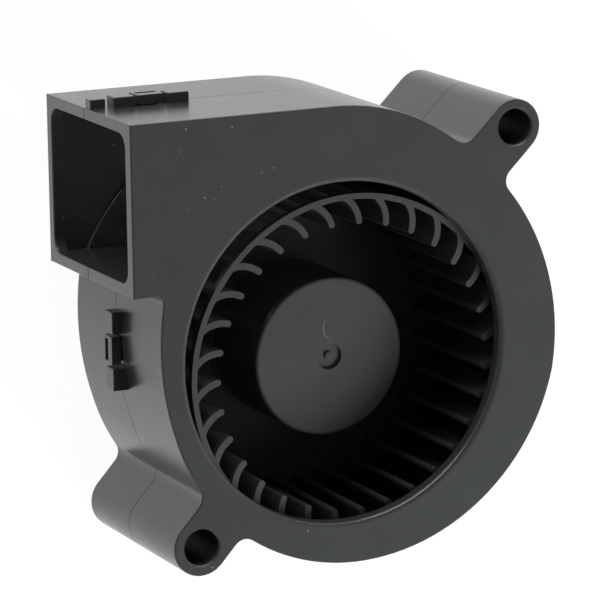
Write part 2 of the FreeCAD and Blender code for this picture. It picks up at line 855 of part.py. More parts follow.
def shaft():
    """Pin with chamfered ends and the groove of its retaining clip."""
    r = size("shaft_radius")
    k = size("shaft_chamfer")
    low = size("shaft_back")
    high = size("hub_front") - size("hub_face")
    groove_top = size("rear_bearing_back")
    groove = groove_top - size("clip_plate")
    neck = size("clip_groove_radius")
    return turned_body("shaft", [
        (0, low),
        (r - k, low),
        (r, low + k),
        (r, groove),
        (neck, groove),
        (neck, groove_top),
        (r, groove_top),
        (r, high - k),
        (r - k, high),
        (0, high),
    ])


def retaining_clip():
    """Open washer snapped into the shaft's groove under the rear bearing."""
    ring = tube_shape("clip_ring", "clip_plate_radius", "clip_groove_radius", "clip_plate",
                      "rear_bearing_back - clip_plate")
    slot = block("clip_slot", "clip_plate_radius + 1", "clip_groove_radius * 1.5", "clip_plate + 2",
                 y="0 - clip_groove_radius * 0.75", z="rear_bearing_back - clip_plate - 1")
    return cut("retaining_clip", ring, slot)


def preload_spring():
    """Coil spring on the shaft between the front bearing's inner ring and the bush."""
    low = size("front_bearing_back") + size("bearing_width")
    high = size("hub_front") - size("hub_face") - size("yoke_wall") - size("bush_flange")
    wire = size("spring_wire")
    height = high - low - wire
    radius = size("shaft_radius") + 0.25 + wire / 2
    path = Part.makeHelix(height / size("spring_turns"), height, radius)
    path.translate(point(0, 0, low + wire / 2))
    section = Part.Wire(Part.makeCircle(wire / 2, point(radius, 0, low + wire / 2), point(0, 1, 0)))
    item = doc.addObject("Part::Feature", "preload_spring")
    item.Shape = Part.Wire(path).makePipeShell([section], True, True)
    return item


def bearing(prefix, base):
    """Ball bearing: outer ring, inner ring, balls in their groove, and the cage round them."""
    middle = f"{base} + bearing_width / 2"
    pitch = "bearing_radius / 2 + shaft_radius / 2"
    groove = "ball_radius + ball_clearance"
    outer = tube_shape(prefix + "_outer_blank", "bearing_radius", "bearing_radius - race_wall",
                       "bearing_width", base)
    outer_ring = cut(prefix + "_bearing_outer_ring", outer,
                     torus(prefix + "_outer_groove", pitch, groove, middle))
    inner = tube_shape(prefix + "_inner_blank", "shaft_radius + race_wall", "shaft_radius",
                       "bearing_width", base)
    inner_ring = cut(prefix + "_bearing_inner_ring", inner,
                     torus(prefix + "_inner_groove", pitch, groove, middle))
    balls = []
    pockets = []
    count = int(size("ball_count"))
    radius = (size("bearing_radius") + size("shaft_radius")) / 2
    height = size(base) + size("bearing_width") / 2
    for number in range(count):
        spot = polar(radius, 360.0 * number / count) + point(0, 0, height)
        balls.append(sphere(f"{prefix}_ball_{number}", "ball_radius", spot))
        pockets.append(sphere(f"{prefix}_pocket_{number}", "ball_radius + ball_clearance", spot))
    train = group(prefix + "_bearing_balls", balls)
    ring = tube_shape(prefix + "_cage_blank", "bearing_radius / 2 + shaft_radius / 2 + cage_wall / 2",
                      "bearing_radius / 2 + shaft_radius / 2 - cage_wall / 2", "cage_height",
                      middle + " - cage_height * 0.3")
    cage = cut(prefix + "_bearing_cage", ring, join(prefix + "_cage_pockets", pockets))
    return [outer_ring, inner_ring, train, cage]


def sphere(name, radius, spot):
    item = doc.addObject("Part::Sphere", name)
    bind(item, Radius=radius)
    item.Placement.Base = spot
    return item


def bearing_tube():
    """Tube that seats the rear bearing from below and the front bearing from above."""
    outside = size("bearing_radius") + size("tube_wall")
    seat = size("bearing_radius")
    shoulder = seat - size("tube_shoulder")
    low = size("back_wall") - size("tube_socket")
    rear_top = size("rear_bearing_back") + size("bearing_width")
    front = size("front_bearing_back")
    top = front + size("bearing_width") + size("tube_rim")
    return turned_body("bearing_tube", [
        (seat, low),
        (outside, low),
        (outside, top),
        (seat, top),
        (seat, front),
        (shoulder, front),
        (shoulder, rear_top),
        (seat, rear_top),
    ])


TUBE = "bearing_radius + tube_wall"
CORE_RADIUS = "yoke_radius - yoke_wall - magnet_wall - air_gap"


def pole_headings():
    count = int(size("pole_count"))
    return [360.0 * (number + 0.5) / count for number in range(count)]


def sector(name, outside, inside, height, base, angle, heading):
    """Part of a ring, centred on a heading."""
    outer = cylinder(name + "_outside", outside, height, z=base)
    bind(outer, Angle=angle)
    inner = cylinder(name + "_inside", inside, height + " + 2", z=base + " - 1")
    piece = cut(name, outer, inner)
    doc.recompute()
    return turn_to(piece, heading - outer.Angle.Value / 2)


def stator_core():
    """Laminated core: a ring on the bearing tube and poles with curved shoes."""
    pieces = [cylinder("core_ring", TUBE + " + core_ring", "core_height", z="core_back")]
    for number, heading in enumerate(pole_headings(), start=1):
        tooth = block(f"tooth_{number}", CORE_RADIUS + " - shoe_wall / 2", "tooth_width",
                      "core_height", y="0 - tooth_width / 2", z="core_back")
        pieces.append(turned(f"tooth_at_{number}", [tooth], heading))
        pieces.append(sector(f"shoe_{number}", CORE_RADIUS, CORE_RADIUS + " - shoe_wall",
                             "core_height", "core_back", "shoe_angle", heading))
    bore = cylinder("core_bore", TUBE, "core_height + 2", z="core_back - 1")
    return cut("stator_core", join("core_solid", pieces), bore)


def insulator(name, plate_base, fence_base, bored_by):
    """Plastic end piece of the winding: ring, arms over the teeth and fences at the shoes."""
    plate = "insulator_wall"
    pieces = [cylinder(name + "_ring", TUBE + " + core_ring + winding_clearance", plate,
                       z=plate_base)]
    for number, heading in enumerate(pole_headings(), start=1):
        arm = block(f"{name}_arm_{number}", CORE_RADIUS + " - shoe_wall / 2", "tooth_width", plate,
                    y="0 - tooth_width / 2", z=plate_base)
        pieces.append(turned(f"{name}_arm_at_{number}", [arm], heading))
        pieces.append(sector(f"{name}_fence_{number}", CORE_RADIUS + " - winding_clearance",
                             CORE_RADIUS + " - shoe_wall", "insulator_fence", fence_base,
                             "fence_angle", heading))
    if bored_by:
        for number, heading in enumerate(PIN_HEADINGS, start=1):
            lug = block(f"{name}_lug_{number}", "pin_circle + pin_lug_width / 2",
                        "pin_lug_width", plate, y="0 - pin_lug_width / 2", z=plate_base)
            pieces.append(turned(f"{name}_lug_at_{number}", [lug], heading))
    bore = cylinder(name + "_bore", TUBE, "core_height", z=plate_base + " - 1")
    return cut(name, join(name + "_solid", pieces), join(name + "_bores", [bore] + bored_by)
               if bored_by else bore)


PIN_HEADINGS = (0.0, 180.0, 270.0)


def pins(name, radius):
    """Terminal posts that stand in the lower insulator and pass through the board."""
    items = []
    for number, heading in enumerate(PIN_HEADINGS, start=1):
        pin = cylinder(f"{name}_{number}", radius,
                       "core_back + pin_post - seat_top + pin_tail",
                       x="pin_circle", z="seat_top - pin_tail")
        items.append(turned(f"{name}_at_{number}", [pin], heading))
    return items


def coil(number, heading):
    """Winding round one tooth."""
    name = f"coil_{number}"
    middle = size("core_back") + size("core_height") / 2
    half_width = size("tooth_width") / 2 + size("winding_clearance")
    half_height = size("core_height") / 2 + size("insulator_wall")
    build = size("coil_build")
    corner = size("coil_corner")
    start = size("bearing_radius") + size("tube_wall") + size("core_ring") + 0.2
    shoe = size("yoke_radius") - size("yoke_wall") - size("magnet_wall") - size("air_gap")
    shoe = shoe - size("shoe_wall") - size("winding_clearance")
    end = math.sqrt(shoe ** 2 - (half_width + build) ** 2)
    body = doc.addObject("PartDesign::Body", name)
    outside = rounded_rectangle(point(-half_width - build, middle - half_height - build),
                                point(half_width + build, middle + half_height + build), corner)
    inside = rounded_rectangle(point(-half_width, middle - half_height),
                               point(half_width, middle + half_height),
                               size("winding_clearance"))
    outline = sketch_on(body, name + "_outline", "YZ_Plane", outside + inside, str(start))
    pad(body, name + "_winding", outline, str(end - start))
    return turn_to(body, heading)


def circuit_board():
    disc = tube_shape("board_disc", "board_radius", TUBE + " + board_bore_clearance",
                      "board_thickness", "seat_top")
    holes = join("board_pin_holes", pins("board_pin_hole", "pin_radius + winding_clearance"))
    return cut("circuit_board", disc, holes)


def chip(name, length, width, height, circle, heading):
    """A component soldered on the board, its length along the circle."""
    body = block(name + "_body", width, length, height, x=f"{circle} - {width} / 2",
                 y=f"0 - {length} / 2", z="seat_top + board_thickness")
    return turned(name, [body], size(heading))


def driver_ic():
    """Eight-lead driver with its leads down to the board."""
    top = "seat_top + board_thickness"
    items = [block("driver_body", "driver_width", "driver_length", "driver_height - driver_lead / 3",
                   x="driver_circle - driver_width / 2", y="0 - driver_length / 2",
                   z=top + " + driver_lead / 3")]
    for side, start in (("inner", "driver_circle - driver_width / 2 - driver_lead"),
                        ("outer", "driver_circle + driver_width / 2")):
        for number in range(4):
            offset = f"( {number} - 1.5 ) * driver_pitch - driver_lead_width / 2"
            items.append(block(f"driver_lead_{side}_{number}", "driver_lead", "driver_lead_width",
                               "driver_lead", x=start, y=offset, z=top))
    return turned("driver_ic", [join("driver_solid", items)], size("driver_heading"))


NODES = [rear_housing(), front_cover(), impeller(), rotor_yoke(), magnet_ring(), shaft_bush(),
         shaft(), retaining_clip(), preload_spring(), bearing_tube()]
NODES += bearing("rear", "rear_bearing_back")
NODES += bearing("front", "front_bearing_back")
NODES.append(stator_core())
NODES.append(insulator("upper_insulator", "core_back + core_height",
                       "core_back + core_height", []))
NODES.append(insulator("lower_insulator", "core_back - insulator_wall",
                       "core_back - insulator_fence", pins("pin_bore", "pin_radius")))
for number, heading in enumerate(pole_headings(), start=1):
    NODES.append(coil(number, heading))
NODES.append(group("terminal_pins", pins("pin", "pin_radius")))
NODES.append(circuit_board())
NODES.append(driver_ic())
NODES.append(chip("hall_sensor", "hall_length", "hall_width", "hall_height", "hall_circle",
                  "hall_heading"))
NODES.append(chip("capacitor", "capacitor_length", "capacitor_width", "capacitor_height",
                  "chip_circle", "capacitor_heading"))
NODES.append(chip("diode", "diode_length", "diode_width", "diode_height", "chip_circle",
                  "diode_heading"))
NODES.append(chip("first_resistor", "resistor_length", "resistor_width", "resistor_height",
                  "chip_circle", "first_resistor_heading"))
NODES.append(chip("second_resistor", "resistor_length", "resistor_width", "resistor_height",
                  "chip_circle", "second_resistor_heading"))

doc.recompute()
failed = [item.Name for item in doc.Objects if {"Invalid", "Error"} & set(item.State)]
if failed:
    raise ValueError("failed objects: " + ", ".join(failed))
for node in NODES:
    if node.Shape.isNull() or not node.Shape.isValid() or not node.Shape.Solids:
        raise ValueError("bad shape: " + node.Label)
for node in NODES:
    box = node.Shape.BoundBox
    print(f"{node.Label}: {len(node.Shape.Solids)} solids, {node.Shape.Volume:.2f} mm3,"
          f" z {box.ZMin:.2f} to {box.ZMax:.2f}")
    node.Shape.exportStep(f"parts/{node.Label}.step")
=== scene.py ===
import math

import bmesh
import bpy
from mathutils import Matrix, Vector


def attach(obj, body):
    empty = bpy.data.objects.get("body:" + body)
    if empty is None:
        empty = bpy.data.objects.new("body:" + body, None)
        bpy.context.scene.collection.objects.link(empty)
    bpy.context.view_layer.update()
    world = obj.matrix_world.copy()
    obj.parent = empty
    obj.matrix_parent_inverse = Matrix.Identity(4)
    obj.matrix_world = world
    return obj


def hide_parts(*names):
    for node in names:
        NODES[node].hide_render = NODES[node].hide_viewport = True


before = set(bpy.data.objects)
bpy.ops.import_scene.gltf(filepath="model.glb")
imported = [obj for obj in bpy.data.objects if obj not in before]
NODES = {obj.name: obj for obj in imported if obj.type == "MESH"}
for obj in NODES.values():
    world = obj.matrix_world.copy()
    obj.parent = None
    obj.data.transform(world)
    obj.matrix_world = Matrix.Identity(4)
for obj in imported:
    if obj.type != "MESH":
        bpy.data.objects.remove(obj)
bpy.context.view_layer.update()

MM = 0.001


# Colours and node trees

def linear(code):
    """Linear RGBA of an sRGB hex colour."""
    values = []
    for start in (1, 3, 5):
        value = int(code[start:start + 2], 16) / 255
        values.append(value / 12.92 if value <= 0.04045 else ((value + 0.055) / 1.055) ** 2.4)
    return (*values, 1.0)


def add(tree, kind, inputs=None, out=0, **options):
    """Add a node and give one of its outputs; an input takes a constant or another output."""
    node = tree.nodes.new(kind)
    for option, value in options.items():
        setattr(node, option, value)
    for socket, value in (inputs or {}).items():
        if isinstance(value, bpy.types.NodeSocket):
            tree.links.new(value, node.inputs[socket])
        else:
            node.inputs[socket].default_value = value
    return node.outputs[out] if node.outputs else node


def per_mm(size):
    """Texture scale whose features come about this many millimetres apart."""
    return 1 / (size * MM)


# Inputs and output of a Mix node that mixes colours
SHARE, FIRST, SECOND, MIXED = 0, 6, 7, 2
# Inputs of a Map Range node: a range, and what its two ends become
LOW, HIGH, AT_LOW, AT_HIGH = 1, 2, 3, 4


def new_material(name, finish, **settings):
    """A material whose shader gets the outputs that a finish makes, and plain settings."""
    material = bpy.data.materials.new(name)
    material.use_nodes = True
    tree = material.node_tree
    tree.nodes.clear()
    place = add(tree, "ShaderNodeTexCoord", out="Object")
    sockets = finish(tree, place)
    shader = add(tree, "ShaderNodeBsdfPrincipled", {**sockets, **settings})
    add(tree, "ShaderNodeOutputMaterial", {"Surface": shader})
    return material


# Finishes: sizes and places in millimetres

# Dust lies in cells: a cell is bare where its lot is below the bare share, which grows with
# the distance from the dustiest spot
DUSTIEST = (-20.5, 27.5, 28.0)
DUST_CELL, DUST_COLOUR, DUST_STRENGTH = 0.8, "#B4B2AE", 0.6
SPECK_CORE, SPECK_RIM = 0.05, 0.15          # as shares of a cell
DUSTY_REACH, CLEAN_REACH = 2.0, 9.0
BARE_NEAR, BARE_FAR = 0.75, 0.99

# The hub's scratch: an arc round a turning point, which fades out away from its own middle
SCRATCH_TURN, SCRATCH_RADIUS = (1.19, 3.80, 18.2), 1.96
SCRATCH_MIDDLE = (-0.70, 3.40, 18.2)
SCRATCH_COLOUR, SCRATCH_STRENGTH = "#A5A5A3", 0.20
SCRATCH_CORE, SCRATCH_RIM = 0.04, 0.09
SCRATCH_FULL, SCRATCH_END = 0.9, 1.7


def dust_specks(tree, place, spot, colour):
    """Pale specks over a colour; spot is the place on the part, and place is shifted by a seed."""
    cells = add(tree, "ShaderNodeTexVoronoi", {"Vector": place, "Scale": per_mm(DUST_CELL)})
    near = add(tree, "ShaderNodeMapRange", {"Value": cells, LOW: SPECK_CORE, HIGH: SPECK_RIM,
               AT_LOW: DUST_STRENGTH, AT_HIGH: 0.0})
    lot = add(tree, "ShaderNodeSeparateColor", {"Color": cells.node.outputs["Color"]})
    away = add(tree, "ShaderNodeVectorMath", {0: spot, 1: Vector(DUSTIEST) * MM}, "Value",
               operation="DISTANCE")
    rare = add(tree, "ShaderNodeMapRange", {"Value": away, LOW: DUSTY_REACH * MM,
               HIGH: CLEAN_REACH * MM, AT_LOW: BARE_NEAR, AT_HIGH: BARE_FAR})
    picked = add(tree, "ShaderNodeMath", {0: lot, 1: rare}, operation="GREATER_THAN")
    speck = add(tree, "ShaderNodeMath", {0: near, 1: picked}, operation="MULTIPLY")
    return add(tree, "ShaderNodeMix", {SHARE: speck, FIRST: colour,
               SECOND: linear(DUST_COLOUR)}, MIXED, data_type="RGBA")


def hub_scratch(tree, spot, colour):
    """A fine pale arc over a colour."""
    turn = add(tree, "ShaderNodeVectorMath", {0: spot, 1: Vector(SCRATCH_TURN) * MM}, "Value",
               operation="DISTANCE")
    off = add(tree, "ShaderNodeMath", {0: turn, 1: SCRATCH_RADIUS * MM}, operation="SUBTRACT")
    off = add(tree, "ShaderNodeMath", {0: off}, operation="ABSOLUTE")
    line = add(tree, "ShaderNodeMapRange", {"Value": off, LOW: SCRATCH_CORE * MM,
               HIGH: SCRATCH_RIM * MM, AT_LOW: SCRATCH_STRENGTH, AT_HIGH: 0.0})
    away = add(tree, "ShaderNodeVectorMath", {0: spot, 1: Vector(SCRATCH_MIDDLE) * MM}, "Value",
               operation="DISTANCE")
    reach = add(tree, "ShaderNodeMapRange", {"Value": away, LOW: SCRATCH_FULL * MM,
                HIGH: SCRATCH_END * MM, AT_LOW: 1.0, AT_HIGH: 0.0})
    mark = add(tree, "ShaderNodeMath", {0: line, 1: reach}, operation="MULTIPLY")
    return add(tree, "ShaderNodeMix", {SHARE: mark, FIRST: colour,
               SECOND: linear(SCRATCH_COLOUR)}, MIXED, data_type="RGBA")


def moulded_pbt(deep, pale, grain, seed=0.0, dusty=True, scratched=False):
    """Black PBT from a spark-eroded mould: dull and even, with a fine grain that breaks up the
    gloss and faint clouds where the melt flowed. The mould's own grain, near 0.05 mm, is drawn
    at about 0.2 mm, so that it shows."""
    def finish(tree, spot):
        place = add(tree, "ShaderNodeMapping", {"Vector": spot, "Location": (seed, seed, 0)})
        cloud = add(tree, "ShaderNodeTexNoise", {"Vector": place, "Scale": per_mm(7.0),
                    "Detail": 3.0})
        share = add(tree, "ShaderNodeMapRange", {"Value": cloud, LOW: 0.35, HIGH: 0.65})
        colour = add(tree, "ShaderNodeMix", {SHARE: share, FIRST: linear(deep),
                     SECOND: linear(pale)}, MIXED, data_type="RGBA")
        if dusty:
            colour = dust_specks(tree, place, spot, colour)
        if scratched:
            colour = hub_scratch(tree, spot, colour)
        fine = add(tree, "ShaderNodeTexNoise", {"Vector": place, "Scale": per_mm(grain),
                   "Detail": 2.0, "Roughness": 0.6})
        smear = add(tree, "ShaderNodeTexNoise", {"Vector": place, "Scale": per_mm(3.5),
                    "Detail": 3.0})
        sheen = add(tree, "ShaderNodeMapRange", {"Value": smear, LOW: 0.3, HIGH: 0.7,
                    AT_LOW: 0.25, AT_HIGH: 0.275})
        relief = add(tree, "ShaderNodeBump", {"Height": fine, "Distance": 0.004 * MM})
        return {"Base Color": colour, "Roughness": sheen, "Normal": relief}
    return finish


def worked_metal(colour, dark, roughness, line, across=(1.0, 1.0, 1.0)):
    """Bare or plated metal: fine lines, as far apart as line says, that drawing, turning or
    grinding leaves along the directions that across shrinks, and soft stains of 4 mm."""
    def finish(tree, place):
        along = add(tree, "ShaderNodeMapping", {"Vector": place, "Scale": across})
        lines = add(tree, "ShaderNodeTexNoise", {"Vector": along, "Scale": per_mm(line)})
        stain = add(tree, "ShaderNodeTexNoise", {"Vector": place, "Scale": per_mm(4.0),
                    "Detail": 3.0})
        share = add(tree, "ShaderNodeMapRange", {"Value": stain, LOW: 0.35, HIGH: 0.7,
                    AT_HIGH: 0.6})
        tone = add(tree, "ShaderNodeMix", {SHARE: share, FIRST: linear(colour),
                   SECOND: linear(dark)}, MIXED, data_type="RGBA")
        sheen = add(tree, "ShaderNodeMapRange", {"Value": lines, LOW: 0.3, HIGH: 0.7,
                    AT_LOW: roughness - 0.06, AT_HIGH: roughness + 0.08})
        relief = add(tree, "ShaderNodeBump", {"Height": lines, "Distance": 0.008 * MM})
        return {"Base Color": tone, "Roughness": sheen, "Normal": relief}
    return finish


def small_moulding(colour, dark, roughness, grain):
    """Small moulded, pressed or fired parts: an even colour with a fine grain."""
    def finish(tree, place):
        patch = add(tree, "ShaderNodeTexNoise", {"Vector": place, "Scale": per_mm(1.5),
                    "Detail": 3.0})
        share = add(tree, "ShaderNodeMapRange", {"Value": patch, LOW: 0.35, HIGH: 0.65})
        tone = add(tree, "ShaderNodeMix", {SHARE: share, FIRST: linear(colour),
                   SECOND: linear(dark)}, MIXED, data_type="RGBA")
        fine = add(tree, "ShaderNodeTexNoise", {"Vector": place, "Scale": per_mm(grain)})
        sheen = add(tree, "ShaderNodeMapRange", {"Value": fine, LOW: 0.3, HIGH: 0.7,
                    AT_LOW: roughness - 0.05, AT_HIGH: roughness + 0.05})
        relief = add(tree, "ShaderNodeBump", {"Height": fine, "Distance": 0.015 * MM})
        return {"Base Color": tone, "Roughness": sheen, "Normal": relief}
    return finish


WAVE_BAND = 2 * math.pi / 20                # a wave texture's band, in its own units


def enamelled_wire(tree, place):
    """Close turns of 0.15 mm wire, drawn as ridges 0.94 mm apart, so that they show; the grooves
    between turns are painted in a darker copper, as painted shade.
    """
    turn_ridges_and_groove_shade = add(tree, "ShaderNodeTexWave", {"Vector": place, "Scale": per_mm(0.94) * WAVE_BAND,
                "Distortion": 0.6, "Detail": 1.0}, "Fac", bands_direction="Z")
    tone = add(tree, "ShaderNodeMix", {SHARE: turn_ridges_and_groove_shade, FIRST: linear("#6E2E12"),
               SECOND: linear("#C26A35")}, MIXED, data_type="RGBA")
    relief = add(tree, "ShaderNodeBump", {"Height": turn_ridges_and_groove_shade, "Distance": 0.06 * MM})
    return {"Base Color": tone, "Normal": relief}


PBT, METAL = {"IOR": 1.57}, {"Metallic": 1.0}

# Black PBT with a green cast, matt on the flat, with white specks near the outlet
cover_pbt = new_material("moulded_pbt_cover", moulded_pbt("#363937", "#383B39", 0.22), **PBT)
# The same plastic from the other half's mould: its clouds and specks fall elsewhere
housing_pbt = new_material("moulded_pbt_housing", moulded_pbt("#363937", "#383B39", 0.22, 0.031),
                           **PBT)
# The wheel's PBT is neutral and drawn a shade lighter than the casing's, as painted light on its
# recessed hub; clean but for the scratch on its hub
wheel_pbt_with_painted_light = new_material("moulded_pbt_wheel_with_painted_light", moulded_pbt("#3D3D3D", "#3F3F3F", 0.18, 0.017,
                         dusty=False, scratched=True), **PBT)
# Zinc's cool grey, with upright marks where the press drew the cup
yoke_steel = new_material("deep_drawn_zinced_steel", worked_metal("#B9B7B2", "#9C9B98", 0.34,
                          0.3, (1.0, 1.0, 0.08)), **METAL)
# Warm yellow, with the tool's fine rings round it
brass = new_material("turned_brass", worked_metal("#C9A25A", "#A9843F", 0.28, 0.12,
                     (0.1, 0.1, 1.0)), **METAL)
# Bright and sharp, with hair-fine grinding rings
ground_steel = new_material("ground_shaft_steel", worked_metal("#D2D2D2", "#B9B9BA", 0.16, 0.06,
                            (0.1, 0.1, 1.0)), **METAL)
# Grey wire with a soft shine
spring_steel = new_material("drawn_spring_steel", worked_metal("#A6A5A2", "#8C8A86", 0.30,
                            0.08), **METAL)
# Close to a mirror, with the faintest rings
bearing_steel = new_material("polished_bearing_steel", worked_metal("#CDCECF", "#B4B5B6", 0.14,
                             0.05, (0.1, 0.1, 1.0)), **METAL)
# Thin sheet, a little warm and dull from the press
cage_steel = new_material("pressed_cage_steel", worked_metal("#B7B4AE", "#98958F", 0.36, 0.15),
                          **METAL)
# Dark blue-grey, with the edges of its 0.5 mm sheets as level lines
core_steel = new_material("stacked_silicon_steel", worked_metal("#8E9095", "#6F7176", 0.42, 0.5,
                          (0.02, 0.02, 1.0)), **METAL)
# White metal with a soft, wiped shine
tinned_copper = new_material("tinned_copper_pin", worked_metal("#C6C7C6", "#A6A7A6", 0.30, 0.2),
                             **METAL)
# Near black and chalky
ferrite = new_material("bonded_ferrite_ring", small_moulding("#2C2B2D", "#39383A", 0.62, 0.15),
                       IOR=1.5)
# Milky, with a waxy sheen
nylon = new_material("natural_nylon_clip", small_moulding("#D9D4C4", "#CCC6B3", 0.45, 0.2),
                     IOR=1.53)
# Paler than the clip, and a little shinier
insulator = new_material("moulded_nylon_insulator", small_moulding("#E4E0D2", "#D6D1C0", 0.42,
                         0.2), IOR=1.53)
# Black with a dry, sandy surface
epoxy = new_material("moulded_epoxy_package", small_moulding("#26262A", "#1E1E21", 0.55, 0.1),
                     IOR=1.55)
# Tan, fired smooth
ceramic = new_material("fired_ceramic_capacitor", small_moulding("#B8976B", "#A38357", 0.40,
                       0.1), IOR=1.6)
# Deep green lacquer, glossy over the board's weave
solder_mask = new_material("solder_mask_on_glass_board", small_moulding("#1E5B39", "#174A2E",
                           0.30, 0.4), IOR=1.5)
# Red-brown metal under clear enamel, which puts a second, sharp shine on each turn
copper = new_material("enamelled_copper_winding", enamelled_wire, Metallic=0.75, Roughness=0.28,
                      **{"Coat Weight": 0.5})

FINISHES = {
    "rotor_yoke": yoke_steel, "magnet_ring": ferrite, "shaft_bush": brass,
    "shaft": ground_steel, "retaining_clip": nylon, "preload_spring": spring_steel,
    "bearing_tube": brass, "rear_bearing_outer_ring": bearing_steel,
    "rear_bearing_inner_ring": bearing_steel, "rear_bearing_balls": bearing_steel,
    "rear_bearing_cage": cage_steel, "front_bearing_outer_ring": bearing_steel,
    "front_bearing_inner_ring": bearing_steel, "front_bearing_balls": bearing_steel,
    "front_bearing_cage": cage_steel, "stator_core": core_steel,
    "upper_insulator": insulator, "lower_insulator": insulator, "coil_1": copper,
    "coil_2": copper, "coil_3": copper, "coil_4": copper, "terminal_pins": tinned_copper,
    "circuit_board": solder_mask, "driver_ic": epoxy, "hall_sensor": epoxy,
    "capacitor": ceramic, "diode": epoxy, "first_resistor": epoxy, "second_resistor": epoxy,
}
for node, material in FINISHES.items():
    NODES[node].data.materials.clear()
    NODES[node].data.materials.append(material)


# Mouldings: the solids' own places, and the rounds that their edges get, in millimetres

X, Y, Z = 0, 1, 2
PARTING, REACH = 13.0, -31.6                # the seam's level, and the outlet mouth's
FLOOR_STEP = 2.0                            # top of the raised disc on the housing's floor
GATE_NUB, HUB_FRONT, RING_FRONT = 18.0667, 18.2, 25.6
DUCT_TOP, LEFT_WALL = 34.85, -28.0          # outer faces of the walls that carry the clips
TOP_CLIP, LEFT_CLIP, LOOP = -23.23, 3.2, 2.1    # the loops' middles, and half their width
LEFT_CLIP_SPAN, CLIP_LEVELS = (-4, 11), (9, 17)
PROUD = 0.03                                # a clip's edges stand off the wall by more
UNDER_TOP, UNDER_LEFT = 1, 2                # depths in which a seam's edge is under a loop
WALL_HEIGHT = 3.0                           # the seam's lip is lower, the walls are higher
MOUTH_ROUND, SEAM_ROUND, CLIP_ROUND, STEP_ROUND = 0.18, 0.10, 0.13, 0.2
RING_ROUND, HUB_ROUND, NUB_ROUND = 0.07, 0.15, 0.12

WELD, ON_LEVEL, CUT = 0.003, 0.002, 0.001   # distances that count as none
LEVEL, SQUARE, FACING = 0.99, 0.2, 0.98     # parts of a face's normal along a direction
COPLANAR, CREASE, CORNER = math.radians(0.5), math.radians(32), math.radians(60)


def merged_copy(node):
    """A CAD node's shape as one welded skin, its flat faces whole again."""
    skin = bmesh.new()
    skin.from_mesh(NODES[node].data)
    bmesh.ops.remove_doubles(skin, verts=skin.verts, dist=WELD * MM)
    bmesh.ops.dissolve_limit(skin, angle_limit=COPLANAR, verts=skin.verts, edges=skin.edges)
    return skin


def finish_piece(skin, name, node, body, material):
    """Turn a skin into the piece that stands for a node."""
    mesh = bpy.data.meshes.new(name)
    for face in skin.faces:
        face.smooth = True
    for edge in skin.edges:
        edge.smooth = not (edge.is_manifold and edge.calc_face_angle(0.0) > CREASE)
    skin.to_mesh(mesh)
    skin.free()
    mesh.materials.append(material)
    piece = bpy.data.objects.new(name, mesh)
    bpy.context.scene.collection.objects.link(piece)
    level = piece.modifiers.new("level_faces", "WEIGHTED_NORMAL")
    level.keep_sharp = True
    level.weight = 80
    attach(piece, body)
    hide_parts(node)


def outline_edges(skin, axis, sign, level, tall=0.0):
    """Convex edges where a flat face at a level meets a face square to it, at least this tall."""
    found = []
    for edge in skin.edges:
        if len(edge.link_faces) != 2 or not edge.is_convex:
            continue
        if any(abs(v.co[axis] - level * MM) > ON_LEVEL * MM for v in edge.verts):
            continue
        first, second = edge.link_faces
        if second.normal[axis] * sign > LEVEL:
            first, second = second, first
        if first.normal[axis] * sign < LEVEL or abs(second.normal[axis]) > SQUARE:
            continue
        span = [v.co[axis] for v in second.verts]
        if max(span) - min(span) >= tall * MM:
            found.append(edge)
    return found


def clip_edges(skin):
    """The clips' sharp convex edges: above the top wall, or outside the left wall."""
    def on_clip(x, y, z):
        return y > DUCT_TOP + PROUD or (
            x < LEFT_WALL - PROUD and LEFT_CLIP_SPAN[0] < y < LEFT_CLIP_SPAN[1]
            and CLIP_LEVELS[0] < z < CLIP_LEVELS[1])
    return [edge for edge in skin.edges if edge.is_manifold and edge.is_convex
            and edge.calc_face_angle(0.0) > CORNER
            and all(on_clip(*(v.co / MM)) for v in edge.verts)]


def soften(skin, edges, width, segments=3, clamp=False):
    """Round edges as a mould leaves them."""
    bmesh.ops.bevel(skin, geom=list(dict.fromkeys(edges)), offset=width * MM, offset_type="OFFSET",
                    segments=segments, profile=0.5, affect="EDGES", clamp_overlap=clamp,
                    material=-1)


def seam_beside_clips(skin):
    """The housing's outer seam edges, cut square beside each loop and left sharp under it, where
    the wall is too low for a round."""
    for axis, place, faced in ((X, TOP_CLIP, Vector((0, 1, 0))),
                               (Y, LEFT_CLIP, Vector((-1, 0, 0)))):
        for side in (-LOOP, LOOP):
            walls = [f for f in skin.faces if f.normal.dot(faced) > FACING
                     or abs(f.normal.z) > LEVEL
                     and abs(f.calc_center_median().z - PARTING * MM) < ON_LEVEL * MM]
            around = dict.fromkeys(part for f in walls for part in (f, *f.edges, *f.verts))
            spot, square = Vector(), Vector()
            spot[axis], square[axis] = (place + side) * MM, 1.0
            bmesh.ops.bisect_plane(skin, geom=list(around), dist=CUT * MM, plane_co=spot,
                                   plane_no=square)
    found = []
    for edge in outline_edges(skin, Z, 1, PARTING, WALL_HEIGHT):
        x, y, _ = (edge.verts[0].co + edge.verts[1].co) / 2 / MM
        under_top = abs(x - TOP_CLIP) < LOOP and y > DUCT_TOP - UNDER_TOP
        under_left = abs(y - LEFT_CLIP) < LOOP and x < LEFT_WALL + UNDER_LEFT
        if not (under_top or under_left):
            found.append(edge)
    return found


cover = merged_copy("front_cover")
soften(cover, clip_edges(cover), CLIP_ROUND, clamp=True)
soften(cover, outline_edges(cover, X, -1, REACH), MOUTH_ROUND)
soften(cover, outline_edges(cover, Z, -1, PARTING, WALL_HEIGHT), SEAM_ROUND, 2)
finish_piece(cover, "front_cover_moulding", "front_cover", "casing", cover_pbt)

